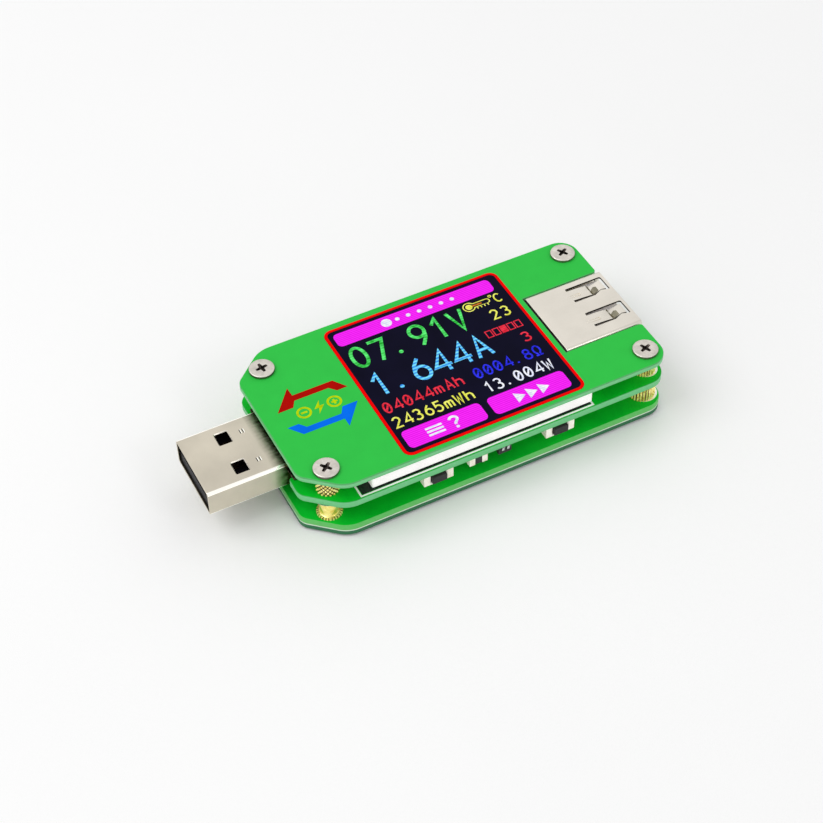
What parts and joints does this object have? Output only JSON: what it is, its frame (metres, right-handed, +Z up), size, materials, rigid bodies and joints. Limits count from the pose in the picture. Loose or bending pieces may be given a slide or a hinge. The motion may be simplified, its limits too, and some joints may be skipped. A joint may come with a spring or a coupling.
{
  "type": "usb power meter",
  "caption": "Pocket USB power meter: green boards on brass standoffs, a colour screen, a USB plug at one end and a USB socket at the other.",
  "frame": {"origin": "under the middle of the meter's overall box, on the surface that the lower screw heads stand on", "axes": "+X along the length, from the plug to the socket; +Z up, out of the screen"},
  "size_m": [0.0712, 0.0308, 0.012],
  "materials": {
    "cover_green": "glossy green solder mask over glass-fibre board, paler cut edges",
    "board_green": "green solder mask over glass-fibre board with tinned pads",
    "back_green": "green solder mask over glass-fibre board",
    "back_sheet": "dark green insulating sheet, satin",
    "window_glass": "clear window over the lit colour screen",
    "screen_panel": "liquid crystal panel",
    "white_plastic": "moulded white plastic",
    "black_tape": "black foam tape",
    "flex_film": "amber flexible circuit film",
    "connector_steel": "nickel-plated stamped steel, satin",
    "screw_steel": "nickel-plated steel screws",
    "brass": "bright knurled brass",
    "contact_gold": "gold-plated spring contacts",
    "black_plastic": "moulded black plastic",
    "chip_black": "black moulding compound with tinned legs",
    "ferrite": "grey ferrite",
    "capacitor_tan": "tan ceramic with tinned ends",
    "switch_cream": "moulded cream plastic",
    "switch_black": "moulded black plastic"
  },
  "bodies": {
    "meter": {"front_cover": "cover_green", "main_board": "board_green", "back_cover": "back_green", "back_sheet": "back_sheet", "screen_window": "window_glass", "screen_frame": "white_plastic", "screen_panel": "screen_panel", "screen_tape": "black_tape", "screen_flex": "flex_film", "plug_shell": "connector_steel", "plug_insulator": "black_plastic", "socket_shell": "connector_steel", "socket_insulator": "white_plastic", "input_socket_shell": "connector_steel", "input_socket_insulator": "black_plastic", "microcontroller": "chip_black", "memory_chip": "chip_black", "voltage_regulator": "chip_black", "crystal": "connector_steel", "shunt_resistor": "chip_black", "inductor": "ferrite", "capacitor": "capacitor_tan", "transistor": "chip_black", "upper_standoff_plug_near": "brass", "lower_standoff_plug_near": "brass", "cover_screw_plug_near": "screw_steel", "back_screw_plug_near": "screw_steel", "upper_standoff_plug_far": "brass", "lower_standoff_plug_far": "brass", "cover_screw_plug_far": "screw_steel", "back_screw_plug_far": "screw_steel", "upper_standoff_socket_near": "brass", "lower_standoff_socket_near": "brass", "cover_screw_socket_near": "screw_steel", "back_screw_socket_near": "screw_steel", "upper_standoff_socket_far": "brass", "lower_standoff_socket_far": "brass", "cover_screw_socket_far": "screw_steel", "back_screw_socket_far": "screw_steel", "plug_contact_1": "contact_gold", "socket_contact_1": "contact_gold", "plug_contact_2": "contact_gold", "socket_contact_2": "contact_gold", "plug_contact_3": "contact_gold", "socket_contact_3": "contact_gold", "plug_contact_4": "contact_gold", "socket_contact_4": "contact_gold", "switch_housing_near_plug": "switch_cream", "switch_housing_near_socket": "switch_cream", "switch_housing_far_plug": "switch_cream", "switch_housing_far_socket": "switch_cream"},
    "plunger_near_plug": {"switch_plunger_near_plug": "switch_black"},
    "plunger_near_socket": {"switch_plunger_near_socket": "switch_black"},
    "plunger_far_plug": {"switch_plunger_far_plug": "switch_black"},
    "plunger_far_socket": {"switch_plunger_far_socket": "switch_black"}
  },
  "joints": [
    {"name": "press_near_plug", "type": "slide", "parent": "meter", "child": "plunger_near_plug", "axis": [0, 1, 0], "range_m": [0, 0.00025], "stiffness_N_per_m": 6400},
    {"name": "press_near_socket", "type": "slide", "parent": "meter", "child": "plunger_near_socket", "axis": [0, 1, 0], "range_m": [0, 0.00025], "stiffness_N_per_m": 6400},
    {"name": "press_far_plug", "type": "slide", "parent": "meter", "child": "plunger_far_plug", "axis": [0, -1, 0], "range_m": [0, 0.00025], "stiffness_N_per_m": 6400},
    {"name": "press_far_socket", "type": "slide", "parent": "meter", "child": "plunger_far_socket", "axis": [0, -1, 0], "range_m": [0, 0.00025], "stiffness_N_per_m": 6400}
  ]
}
